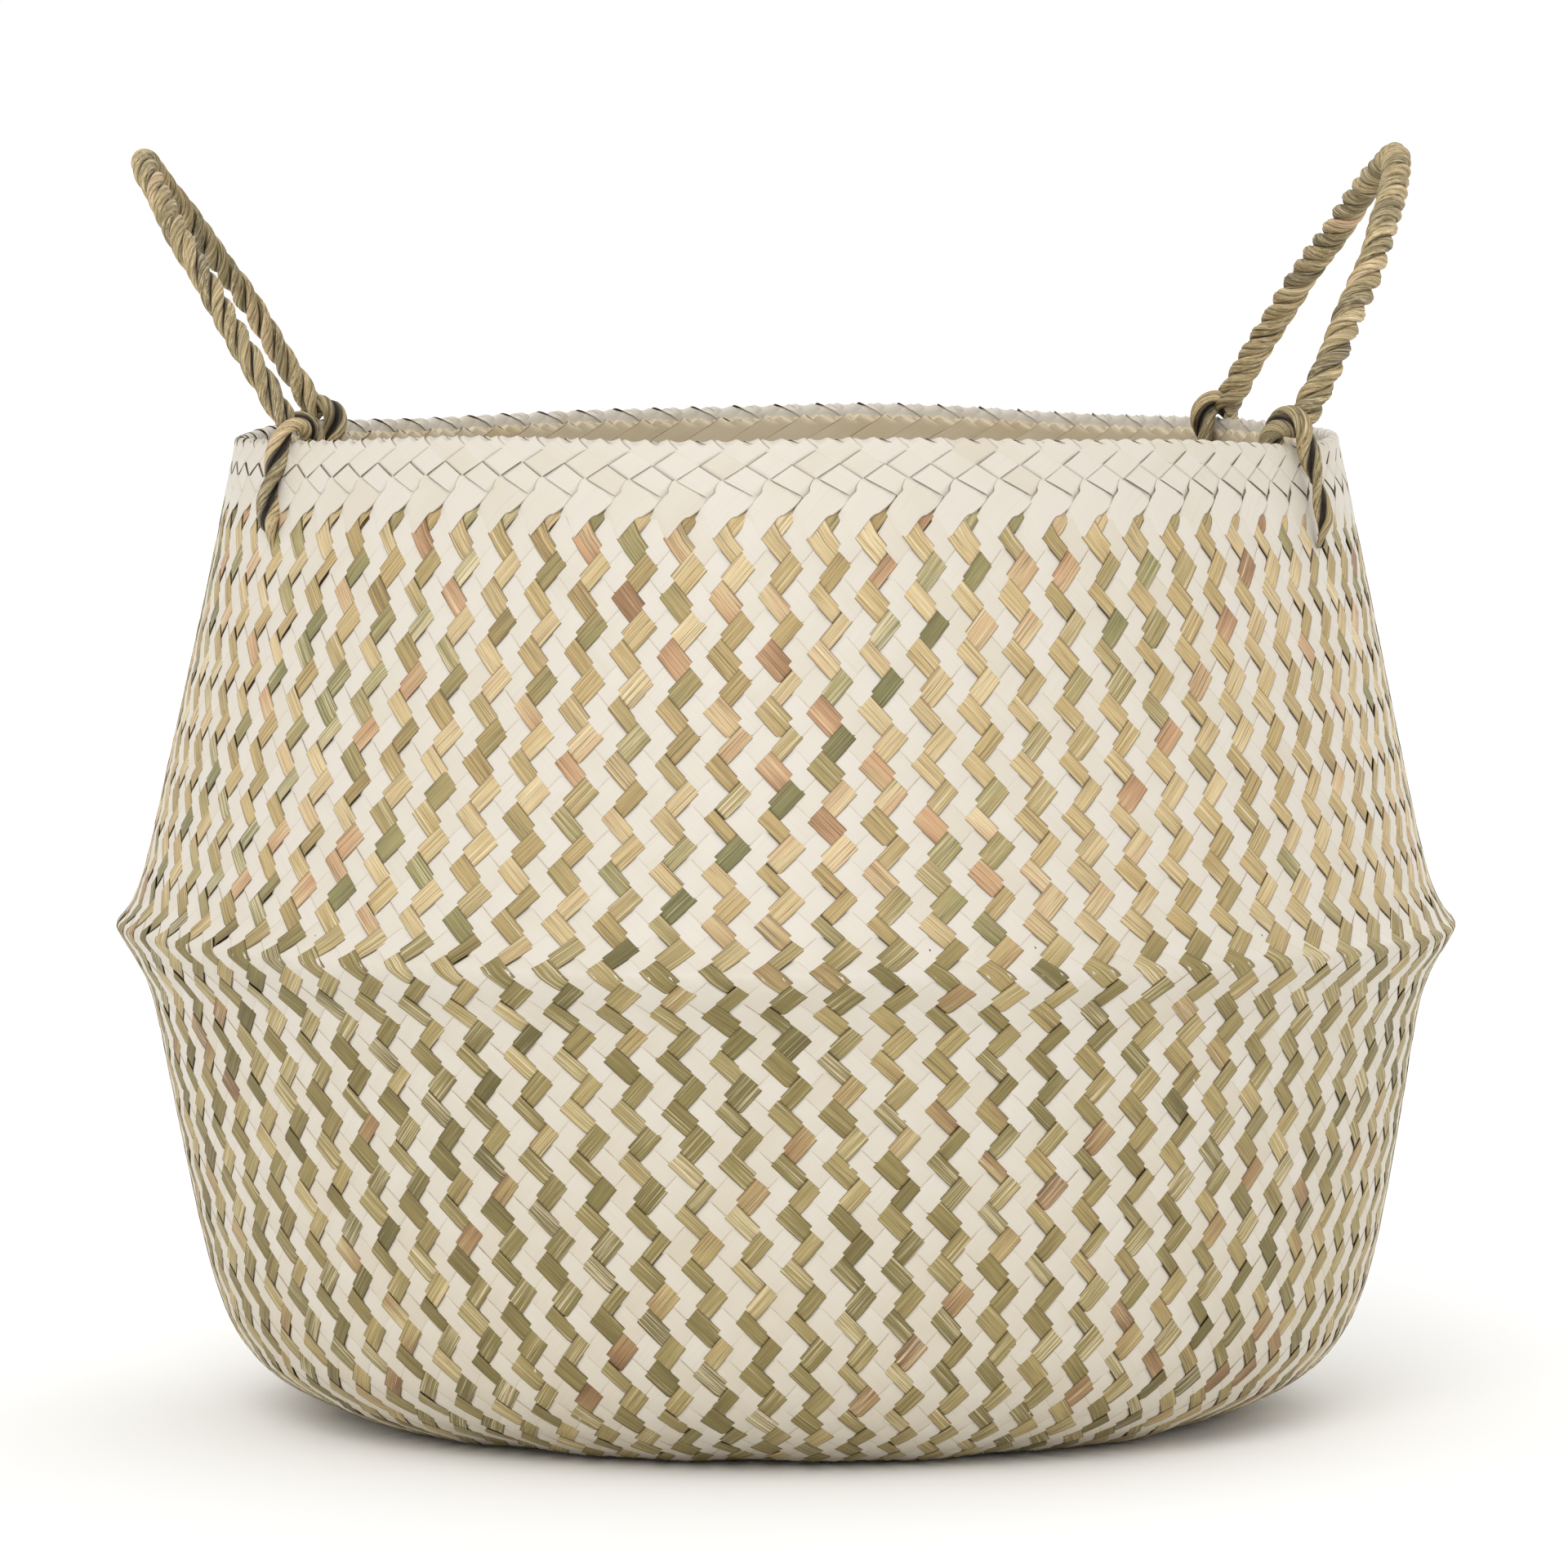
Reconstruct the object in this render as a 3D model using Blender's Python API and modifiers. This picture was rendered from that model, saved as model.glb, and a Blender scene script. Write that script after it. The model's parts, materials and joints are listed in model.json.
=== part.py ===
"""Plaited palm basket with a fold line round its waist, a white rim band and two twisted rope handles.

Metres, +Z up. The origin is the centre of the flat base, where the basket stands.
The handles are at -X (left) and +X (right), and -Y is the front.
"""

from math import atan2, cos, exp, hypot, pi, radians, sin

import bmesh
import bpy
from mathutils import Matrix, Vector

# Body: one plaited skin, turned about Z
TURNUP_Z = 0.030
WAIST_Z = 0.165
BAND_BOTTOM_Z = 0.302
RIM_Z = 0.328
WALL = 0.004
ROUND_STEPS = 56

# Outer radius below the waist: a line, less a rounded bottom corner, plus a flare up to the fold
LOWER_RADIUS = 0.188
LOWER_SLOPE = 0.174
CORNER_DEPTH = 0.040
CORNER_HEIGHT = 0.0138
LOWER_FLARE = 0.0085
LOWER_FLARE_HEIGHT = 0.014
LOWER_FLARE_POWER = 1.7

# Outer radius above the waist: a line leaning inwards, plus a short flare down to the fold
UPPER_RADIUS = 0.2188
UPPER_SLOPE = -0.2138
UPPER_FLARE = 0.0062
UPPER_FLARE_HEIGHT = 0.0065

# Rim: the white band, and the lining of strand ends that are turned back inside it
BAND = 0.0032
LINING = 0.0020
LINING_BOTTOM_Z = 0.306
LINING_TOP_Z = 0.3265

GAP = 0.0003

# Handles: rope of three plies
PLY_RADIUS = 0.0024
PLY_OFFSET = 0.0039
PLY_END_CLEARANCE = 0.0018
PLY_PITCH = 0.027
PLY_COUNT = 3
POINTS_PER_TURN = 7
LOOP_SAMPLES = 600

# Each foot hangs in a lashing, a ring of one ply that goes over the rim and through the wall below it
LASHING_RADIUS = 0.0028
LASHING_CLEARANCE = 0.0005
LASHING_BOTTOM_Z = 0.2945
NOTCH_WIDTH = 0.0075
NOTCH_BOTTOM_Z = 0.2905

# Beside it a loose strand end lies outside the band
TAIL_RADIUS = 0.0024
TAIL_ASIDE = 0.0064
TAIL_TOP_Z = 0.3262
TAIL_BOTTOM_Z = 0.2935
TAIL_POINTS = 9

# Feet as angles round the rim from the handle's own side, lean of the loop from upright, its height
# along that lean, and how far its outline is drawn in from an ellipse towards a pointed arch
HANDLES = {
    "left": {"side": -1, "front": 28, "back": 28, "lean": 31.5, "height": 0.1067, "point": 0.40},
    "right": {"side": 1, "front": 25, "back": 35, "lean": 27.7, "height": 0.1033, "point": 0.50},
}

PALM_NATURAL = ("natural_palm", (0.42, 0.33, 0.18), 0.7)
PALM_WHITE = ("bleached_palm", (0.80, 0.75, 0.66), 0.55)
GRASS_ROPE = ("grass_rope", (0.33, 0.25, 0.13), 0.8)


def clear_scene():
    for thing in list(bpy.data.objects):
        bpy.data.objects.remove(thing, do_unlink=True)


def new_collection(name):
    group = bpy.data.collections.new(name)
    bpy.context.scene.collection.children.link(group)
    return group


def material(spec):
    name, colour, roughness = spec
    paint = bpy.data.materials.new(name)
    paint.use_nodes = True
    shader = paint.node_tree.nodes["Principled BSDF"]
    shader.inputs["Base Color"].default_value = (*colour, 1)
    shader.inputs["Roughness"].default_value = roughness
    shader.inputs["Metallic"].default_value = 0
    return paint


def add_object(name, data, group, spec):
    thing = bpy.data.objects.new(name, data)
    data.materials.append(material(spec))
    group.objects.link(thing)
    return thing


def wall_radius(z):
    """Outer radius of the basket at height z."""
    above = z - WAIST_Z
    if above < 0:
        flare = LOWER_FLARE * exp(-((-above / LOWER_FLARE_HEIGHT) ** LOWER_FLARE_POWER))
        return LOWER_RADIUS + LOWER_SLOPE * z - CORNER_DEPTH * exp(-z / CORNER_HEIGHT) + flare
    return UPPER_RADIUS + UPPER_SLOPE * above + UPPER_FLARE * exp(-above / UPPER_FLARE_HEIGHT)


def wall_slope(z):
    """Change of the outer radius with height, looking only to the same side of the fold."""
    step = 0.0002
    low, high = (z - step, z) if z <= WAIST_Z else (z, z + step)
    return (wall_radius(high) - wall_radius(low)) / step


def inside_of(z, depth):
    """The point that lies a depth inside the outer surface at height z, square to it, as radius and z."""
    slope = wall_slope(z)
    length = hypot(1, slope)
    return wall_radius(z) - depth / length, z + depth * slope / length


def turned(name, outline, group, spec):
    """A ring turned from a closed outline of radius and z that runs down its outer side first."""
    mesh = bpy.data.meshes.new(name)
    count = len(outline)
    edges = [(i, (i + 1) % count) for i in range(count)]
    mesh.from_pydata([(radius, 0, z) for radius, z in outline], edges, [])
    ring = add_object(name, mesh, group, spec)
    screw = ring.modifiers.new("Turn", "SCREW")
    screw.axis = "Z"
    screw.angle = 2 * pi
    screw.steps = ROUND_STEPS
    screw.render_steps = ROUND_STEPS
    screw.use_merge_vertices = True
    screw.merge_threshold = 0.00005
    screw.use_smooth_shade = True
    return ring


def skin_outline(heights, outer_depth, inner_depth):
    """Outline of a skin between two depths inside the basket's outer surface, level at both ends."""
    outer = [inside_of(z, outer_depth) for z in heights]
    inner = [inside_of(z, inner_depth) for z in heights]
    top, bottom = heights[0], heights[-1]
    inner[0] = (inner[0][0], top)
    outer[0] = (outer[0][0], top)
    if bottom > 0:
        inner[-1] = (inner[-1][0], bottom)
        outer[-1] = (outer[-1][0], bottom)
    return outer + inner[::-1]


def make_base(group):
    """The flat plaited bottom, bevelled to meet the slanted lower end of the wall."""
    radius, height = inside_of(0, WALL)
    mesh = bpy.data.meshes.new("base")
    shape = bmesh.new()
    bmesh.ops.create_cone(
        shape,
        cap_ends=True,
        segments=ROUND_STEPS,
        radius1=wall_radius(0) - GAP,
        radius2=radius - GAP,
        depth=height,
        matrix=Matrix.Translation((0, 0, height / 2)),
    )
    shape.to_mesh(mesh)
    shape.free()
    add_object("base", mesh, group, PALM_NATURAL)


def make_lower_wall(group):
    """The rounded edge where the bottom turns up, and the wall from there to the fold line."""
    round_edge = (TURNUP_Z - GAP, 0.022, 0.0155, 0.0105, 0.0065, 0.003, 0)
    turned("base_turnup", skin_outline(round_edge, 0, WALL), group, PALM_NATURAL)
    below_waist = (WAIST_Z - GAP / 2, 0.160, 0.154, 0.146, 0.132, 0.095, 0.060, 0.042, TURNUP_Z)
    turned("lower_wall", skin_outline(below_waist, 0, WALL), group, PALM_NATURAL)


def make_upper_wall(group, cutters):
    """The upper half of the body, with a notch in its top edge for each lashing."""
    top = BAND_BOTTOM_Z - GAP
    above_waist = (top, 0.26, 0.22, 0.19, 0.179, 0.172, 0.168, WAIST_Z + GAP / 2)
    wall = turned("upper_wall", skin_outline(above_waist, 0, WALL), group, PALM_NATURAL)
    for name, angle in all_feet():
        cut = wall.modifiers.new(name, "BOOLEAN")
        cut.operation = "DIFFERENCE"
        cut.object = notch_cutter(name + "_notch", angle, cutters)


def notch_cutter(name, angle, group):
    height = 0.02
    depth = 0.03
    mesh = bpy.data.meshes.new(name)
    shape = bmesh.new()
    place = Matrix.Translation((wall_radius(NOTCH_BOTTOM_Z), 0, NOTCH_BOTTOM_Z + height / 2))
    size = Matrix.Diagonal((depth, NOTCH_WIDTH, height, 1))
    bmesh.ops.create_cube(shape, size=1, matrix=Matrix.Rotation(angle, 4, "Z") @ place @ size)
    shape.to_mesh(mesh)
    shape.free()
    cutter = bpy.data.objects.new(name, mesh)
    cutter.hide_render = True
    cutter.display_type = "WIRE"
    group.objects.link(cutter)
    return cutter


def make_rim(group):
    band_heights = (RIM_Z, 0.315, BAND_BOTTOM_Z)
    turned("rim_band", skin_outline(band_heights, 0, BAND), group, PALM_WHITE)
    lining_heights = (LINING_TOP_Z, LINING_BOTTOM_Z)
    inner = BAND + GAP + LINING
    turned("rim_lining", skin_outline(lining_heights, BAND + GAP, inner), group, PALM_WHITE)


def tube(name, points, radius, group, closed=False):
    """A strand of grass: a round tube along the points."""
    data = bpy.data.curves.new(name, "CURVE")
    data.dimensions = "3D"
    data.bevel_depth = radius
    data.bevel_resolution = 2
    data.use_fill_caps = not closed
    spline = data.splines.new("POLY")
    spline.points.add(len(points) - 1)
    for spot, point in zip(spline.points, points):
        spot.co = (*point, 1)
    spline.use_cyclic_u = closed
    return add_object(name, data, group, GRASS_ROPE)


def foot_angle(handle, end):
    """Angle of a handle's foot round the rim, anticlockwise from +X."""
    turn = radians(handle[end]) * (-1 if end == "front" else 1)
    return turn if handle["side"] > 0 else pi - turn


def all_feet():
    for side, handle in HANDLES.items():
        for end in ("front", "back"):
            yield f"{side}_{end}", foot_angle(handle, end)


def foot_point(handle, end):
    """Where a foot crosses the rim: the middle of the rim's thickness, at its top edge."""
    angle = foot_angle(handle, end)
    radius = inside_of(RIM_Z, (BAND + GAP + LINING) / 2)[0]
    return Vector((radius * cos(angle), radius * sin(angle), RIM_Z))


def beside_wall(angle, z, out, aside=0.0):
    """A point a distance out from the basket's outer surface at height z, and aside along it."""
    radius = inside_of(z, -out)[0]
    turn = angle + aside / radius
    return Vector((radius * cos(turn), radius * sin(turn), z))


def lashing_points(angle):
    """A closed ring round the rim: up outside, an arc over the top, down inside, through the notch."""
    reach = LASHING_RADIUS + LASHING_CLEARANCE
    rim_depth = BAND + GAP + LINING
    half_width = reach + rim_depth / 2
    straight = (LASHING_BOTTOM_Z + half_width, 0.310, 0.319)
    outside = [beside_wall(angle, z, reach) for z in straight]
    inside = [beside_wall(angle, z, -rim_depth - reach) for z in straight]
    return outside + arc(angle, RIM_Z, half_width, 1) + inside[::-1] + arc(angle, straight[0], half_width, -1)


def arc(angle, z, radius, side):
    """Half a circle in the upright plane through the axis, over (1) or under (-1) the wall's middle."""
    middle = inside_of(z, (BAND + GAP + LINING) / 2)[0]
    steps = 8
    turns = [pi * i / steps for i in range(steps + 1)]
    if side < 0:
        turns = [pi + t for t in turns][1:-1]
    radii = [(middle + radius * cos(t), z + radius * sin(t)) for t in turns]
    return [Vector((r * cos(angle), r * sin(angle), height)) for r, height in radii]


def tail_points(angle, aside):
    heights = [TAIL_TOP_Z + (TAIL_BOTTOM_Z - TAIL_TOP_Z) * i / (TAIL_POINTS - 1) for i in range(TAIL_POINTS)]
    reach = TAIL_RADIUS + LASHING_CLEARANCE
    return [beside_wall(angle, z, reach, aside) for z in heights]


def make_feet(group):
    for name, angle in all_feet():
        tube(name + "_lashing", lashing_points(angle), LASHING_RADIUS, group, closed=True)
        towards_middle = 1 if name.endswith("front") == name.startswith("right") else -1
        tube(name + "_tail", tail_points(angle, TAIL_ASIDE * towards_middle), TAIL_RADIUS, group)


def handle_frame(handle):
    """The handle's hinge: the middle of its feet, the line from front to back foot, and its lean."""
    front = foot_point(handle, "front")
    back = foot_point(handle, "back")
    along = (back - front).normalized()
    outward = Vector((along.y, -along.x, 0)) * handle["side"]
    outward *= 1 if outward.x * handle["side"] > 0 else -1
    lean = radians(handle["lean"])
    up = outward * sin(lean) + Vector((0, 0, cos(lean)))
    return (front + back) / 2, along, up, (back - front).length / 2


def loop_samples(handle):
    """The rope's centre line as across and up distances in the loop's plane, from foot to foot."""
    width = handle_frame(handle)[3]
    point = handle["point"]
    samples = []
    for i in range(LOOP_SAMPLES + 1):
        turn = pi * (1 - i / LOOP_SAMPLES)
        across = width * cos(turn) * (1 - point + point * abs(cos(turn)))
        samples.append(Vector((across, handle["height"] * sin(turn))))
    return samples


def along_loop(samples, lengths, wanted):
    """Point and direction on the sampled centre line at a wanted length along it."""
    i = next(k for k in range(1, len(lengths)) if lengths[k] >= wanted)
    share = (wanted - lengths[i - 1]) / (lengths[i] - lengths[i - 1])
    step = samples[i] - samples[i - 1]
    return samples[i - 1] + step * share, step.normalized()


def ply_points(handle, ply):
    """A right-handed helix round the loop's centre line, clear of the lashings at both feet."""
    middle, along, up, _ = handle_frame(handle)
    samples = loop_samples(handle)
    lengths = [0.0]
    for first, second in zip(samples, samples[1:]):
        lengths.append(lengths[-1] + (second - first).length)
    rim_half = (BAND + GAP + LINING) / 2
    start = rim_half + LASHING_CLEARANCE + 2 * LASHING_RADIUS + PLY_END_CLEARANCE
    stretch = lengths[-1] - 2 * start
    count = round(POINTS_PER_TURN * stretch / PLY_PITCH)
    side_on = along.cross(up)
    points = []
    for i in range(count + 1):
        length = start + stretch * i / count
        centre, direction = along_loop(samples, lengths, length)
        turn = 2 * pi * (length / PLY_PITCH + ply / PLY_COUNT)
        outward = Vector((-direction.y, direction.x)) * cos(turn) * PLY_OFFSET
        flat = centre + outward
        points.append(middle + along * flat.x + up * flat.y + side_on * sin(turn) * PLY_OFFSET)
    return points


def make_handle(side, handle, group):
    """Three plies under one empty that stands on the handle's hinge line."""
    middle, along, _, _ = handle_frame(handle)
    hinge = bpy.data.objects.new(side + "_handle_hinge", None)
    hinge.location = middle
    hinge.rotation_euler = (0, 0, atan2(along.y, along.x) - pi / 2)
    group.objects.link(hinge)
    bpy.context.view_layer.update()
    for ply in range(PLY_COUNT):
        strand = tube(f"{side}_handle_ply_{ply + 1}", ply_points(handle, ply), PLY_RADIUS, group)
        strand.parent = hinge
        strand.matrix_parent_inverse = hinge.matrix_world.inverted()


def build():
    clear_scene()
    basket = new_collection("plaited_basket")
    cutters = new_collection("cutters")
    make_base(basket)
    make_lower_wall(basket)
    make_upper_wall(basket, cutters)
    make_rim(basket)
    make_feet(basket)
    for side, handle in HANDLES.items():
        make_handle(side, handle, basket)


build()
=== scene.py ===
# Plaited palm basket: a fold line round its waist, a white turned-over rim and two twisted rope handles.
# Metres, +Z up. The front is -Y, and the handles are at -X (left) and +X (right).

import json
from math import atan2, cos, pi, radians, sin

import bpy
import numpy as np
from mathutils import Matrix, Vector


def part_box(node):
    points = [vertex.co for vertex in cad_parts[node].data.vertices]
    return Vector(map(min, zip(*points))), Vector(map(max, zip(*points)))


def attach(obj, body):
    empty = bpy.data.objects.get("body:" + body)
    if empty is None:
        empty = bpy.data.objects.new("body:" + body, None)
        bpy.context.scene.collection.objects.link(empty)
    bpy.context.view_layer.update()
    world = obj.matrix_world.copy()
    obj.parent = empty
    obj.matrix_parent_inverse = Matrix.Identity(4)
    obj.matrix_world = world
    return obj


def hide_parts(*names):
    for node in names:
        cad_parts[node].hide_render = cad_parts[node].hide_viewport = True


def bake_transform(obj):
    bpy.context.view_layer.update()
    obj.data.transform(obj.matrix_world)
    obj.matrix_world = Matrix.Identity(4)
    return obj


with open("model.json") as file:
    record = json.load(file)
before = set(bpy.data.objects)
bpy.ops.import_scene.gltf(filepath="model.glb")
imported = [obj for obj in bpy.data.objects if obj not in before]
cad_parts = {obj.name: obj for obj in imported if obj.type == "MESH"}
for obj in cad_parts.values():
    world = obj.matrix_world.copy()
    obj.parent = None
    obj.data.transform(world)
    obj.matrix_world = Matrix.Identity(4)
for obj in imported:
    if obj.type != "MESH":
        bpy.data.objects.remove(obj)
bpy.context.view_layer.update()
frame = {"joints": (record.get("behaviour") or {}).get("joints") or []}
waistZ = (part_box("lower_wall")[1].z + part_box("upper_wall")[0].z) / 2
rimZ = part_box("rim_band")[1].z
print("frame loaded")

# ---- outline of the basket

form = {
    "lowerRadius": 0.188, "lowerSlope": 0.174, "cornerDepth": 0.040, "cornerHeight": 0.0138,
    "lowerFlare": 0.0085, "lowerFlareHeight": 0.014, "lowerFlarePower": 1.7,
    "upperRadius": 0.2188, "upperSlope": -0.2138, "upperFlare": 0.0062, "upperFlareHeight": 0.0065,
    "creaseHalf": 0.0010,     # the skin turns the fold line within this height each way
    "bottomReach": 0.017,     # how far the wall's strands run in under the bottom
    "wander": 0.0011,         # how far hand work leaves the outline from a true circle
    "rimWave": 0.0008,        # how far the rim rises and dips
    "rimRise": 0.0058,        # how much higher the rim stands at the front and back than at the handles
    "frontRise": 0.0012,      # and how much of it the front has more
    "twistBelow": 0.39,       # radians a metre that the columns turn on their way down from the waist
    "scallop": 0.0020,        # how far the bottom edge lifts between the places it stands on
}


def wallRadius(z):
    # outer radius: below the waist a line, less a rounded corner, plus a flare; above it a line plus a flare
    above = z - waistZ
    under = np.maximum(-above, 0)
    corner = form["cornerDepth"] * np.exp(-z / form["cornerHeight"])
    flare = form["lowerFlare"] * np.exp(-((under / form["lowerFlareHeight"]) ** form["lowerFlarePower"]))
    lower = form["lowerRadius"] + form["lowerSlope"] * z - corner + flare
    over = np.maximum(above, 0)
    spread = form["upperFlare"] * np.exp(-over / form["upperFlareHeight"])
    upper = form["upperRadius"] + form["upperSlope"] * over + spread
    return np.where(above < 0, lower, upper)


def wallLine(low, high, depth):
    # points (radius, height) that lie a depth inside the outer surface, square to it, without the crease
    z = np.arange(low, high, 0.0005)
    z = z[np.abs(z - waistZ) > form["creaseHalf"]]
    slope = (wallRadius(z + 0.0001) - wallRadius(z - 0.0001)) / 0.0002
    size = np.hypot(1, slope)
    return np.stack([wallRadius(z) - depth / size, z + depth * slope / size], 1)


def turnOver(edge, radius):
    # half a circle from an outer line's last point over to the inner side, as points (radius, height)
    turn = np.linspace(0, pi, 13)[1:]
    return np.stack([edge[0] - radius + radius * np.cos(turn), edge[1] + radius * np.sin(turn)], 1)


def makeSkin(line):
    # a line read at even steps of its length, with the direction square to it that points out of the basket
    step = np.hypot(*np.diff(line, axis=0).T)
    length = np.concatenate([[0], np.cumsum(step)])
    along = np.arange(0, length[-1], 0.00025)
    radius = np.interp(along, length, line[:, 0])
    height = np.interp(along, length, line[:, 1])
    blur = np.hanning(11) / np.hanning(11).sum()
    dr = np.convolve(np.pad(np.gradient(radius), 5, mode="edge"), blur, "valid")
    dz = np.convolve(np.pad(np.gradient(height), 5, mode="edge"), blur, "valid")
    size = np.hypot(dr, dz)
    return {"along": along, "radius": radius, "height": height, "outR": dz / size, "outZ": -dr / size}


def onSkin(skin, theta, along, lift):
    # the point at an angle round the basket and a length along its outline, lifted off the skin, with a slow
    # hand-made wander
    kinds = ("radius", "height", "outR", "outZ")
    radius, height, outR, outZ = (np.interp(along, skin["along"], skin[k]) for k in kinds)
    radius = radius + lift * outR
    height = height + lift * outZ
    share = np.clip(height / rimZ, 0, 1)
    theta = theta + form["twistBelow"] * np.maximum(waistZ - height, 0)
    wander = np.sin(2 * theta + 0.7) + 0.8 * np.sin(3 * theta + 2.1 + 3 * share)
    wander = wander + 0.5 * np.sin(7 * theta + 9 * share)
    radius = radius + form["wander"] * wander * np.minimum(1, height / 0.02)
    wave = np.sin(2 * theta + 1.0) + 0.9 * np.sin(5 * theta + 0.4) + 0.5 * np.sin(9 * theta + 2.0)
    most = form["rimRise"] - form["frontRise"] * np.sin(theta)
    rise = most * (1 - np.cos(2 * theta)) / 2 + form["rimWave"] * wave
    edge = np.clip((radius - 0.138) / 0.012, 0, 1) * np.exp(-height / 0.016)
    lumps = 0.5 + 0.3 * np.sin(11 * theta + 0.6) + 0.2 * np.sin(23 * theta + 2.0)
    height = height + rise * share ** 3 + form["scallop"] * lumps * edge
    return np.stack([radius * np.cos(theta), radius * np.sin(theta), np.maximum(height, 0.0001)], -1)


# ---- the plait's own grid: x counts half strand gaps round the basket, rows count crossings up it

plait = {
    "strands": 156,            # each way round
    "step": 0.00593,           # strand length from one crossing to the next
    "phase": 0.69,
    "topRow": 73,              # the row that the band's points stand on
    "topRowZ": 0.298,
    "bandRows": (73, 75, 77, 79, 81, 83),                    # the crossings of the white strands in the band
    "bandHeights": (0.298, 0.3098, 0.3146, 0.3194, 0.3236, 0.3269),
    "bandSway": (0.0, 0.62, 0.12, 0.0, 0.0, 0.0),   # how far each of those crossings is pulled along the rim
    "insideGap": 0.0021,                                     # row height inside the turned edge
    "thickness": 0.00028,
    "slope": 0.24,             # of a row: half of what a strand needs to pass from over to under
}


def addRows(skin):
    # row number along the skin: each row is what is left of a crossing's step when its share round the basket
    # is taken off; in the band the rows stand at their own heights, and past the turned edge they have one gap
    across = pi * skin["radius"] / plait["strands"]
    gap = np.sqrt(plait["step"] ** 2 - across ** 2)
    rows = np.cumsum(np.gradient(skin["along"]) / gap)
    top = np.argmax(skin["height"])
    z = skin["height"][:top + 1]
    anchor = np.interp(plait["topRowZ"], z, rows[:top + 1])
    rows = rows - anchor + plait["topRow"]
    bandRow = np.interp(z, plait["bandHeights"], plait["bandRows"])
    rows[:top + 1] = np.where(z > plait["topRowZ"], bandRow, rows[:top + 1])
    rows[top:] = rows[top] + (skin["along"][top:] - skin["along"][top]) / plait["insideGap"]
    skin["rows"] = rows + 1e-7 * np.arange(len(rows))
    smooth = np.hanning(25) / np.hanning(25).sum()
    even = np.convolve(np.pad(np.gradient(skin["rows"]), 12, mode="edge"), smooth, "valid")
    skin["gap"] = np.gradient(skin["along"]) / even
    return skin


def sway(row):
    # how far the band's crossings are pulled along the rim, in the grid's own steps
    return np.interp(row, plait["bandRows"], plait["bandSway"])


def slowNoise(rng, count, place, waves):
    # for each strand its own sum of slow sines along its length, about -1 to 1
    total = np.zeros((count, place.shape[-1]))
    for wave in waves:
        total += np.sin(place * wave + rng.uniform(0, 2 * pi, (count, 1)))
    return total / len(waves)


def overUnder(place, changes, first):
    # +1 where a strand lies on top and -1 where it passes beneath, with a short smooth slope at each change
    changes = np.asarray(changes)
    spot = np.searchsorted(changes, place)
    sign = first * (1 - 2 * (spot % 2))
    padded = np.concatenate([[-1e3], changes, [1e3]])
    nearest = np.minimum(place - padded[spot], padded[spot + 1] - place)
    rise = np.clip(nearest / plait["slope"], 0, 1)
    return sign * np.sin(rise * pi / 2)


def buildMesh(name, points, quads, material, attributes):
    # a mesh of quads, with its named attributes at each point
    mesh = bpy.data.meshes.new(name)
    mesh.vertices.add(len(points))
    mesh.vertices.foreach_set("co", points.astype(np.float32).ravel())
    mesh.loops.add(quads.size)
    mesh.loops.foreach_set("vertex_index", quads.astype(np.int32).ravel())
    mesh.polygons.add(len(quads))
    mesh.polygons.foreach_set("loop_start", np.arange(0, quads.size, 4, dtype=np.int32))
    mesh.update(calc_edges=True)
    for label, values in attributes.items():
        layer = mesh.attributes.new(label, "FLOAT_VECTOR", "POINT")
        layer.data.foreach_set("vector", values.astype(np.float32).ravel())
    mesh.shade_smooth()
    mesh.set_sharp_from_angle(angle=radians(42))
    mesh.materials.append(material)
    piece = bpy.data.objects.new(name, mesh)
    bpy.context.scene.collection.objects.link(piece)
    return piece


# corners of a strip's section (across, up or down)
stripSection = np.array([(-1, 1), (-0.34, 1), (0.34, 1), (1, 1), (1, -1), (-1, -1)])


def stripQuads(count, length):
    # faces of closed strips: four corners above and two below at each step, and both ends
    corners = len(stripSection)
    first = (np.arange(count)[:, None] * length + np.arange(length - 1)[None, :]).ravel() * corners
    corner = np.arange(corners)
    after = (corner + 1) % corners
    side = np.stack([corner, after, after + corners, corner + corners], 1)
    body = (first[:, None, None] + side[None]).reshape(-1, 4)
    cap = np.array([[[0, 5, 2, 1], [5, 4, 3, 2]]])
    start = np.arange(count)[:, None, None] * length * corners + cap
    end = start[:, :, ::-1] + (length - 1) * corners
    return np.concatenate([body, start.reshape(-1, 4), end.reshape(-1, 4)])


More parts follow.
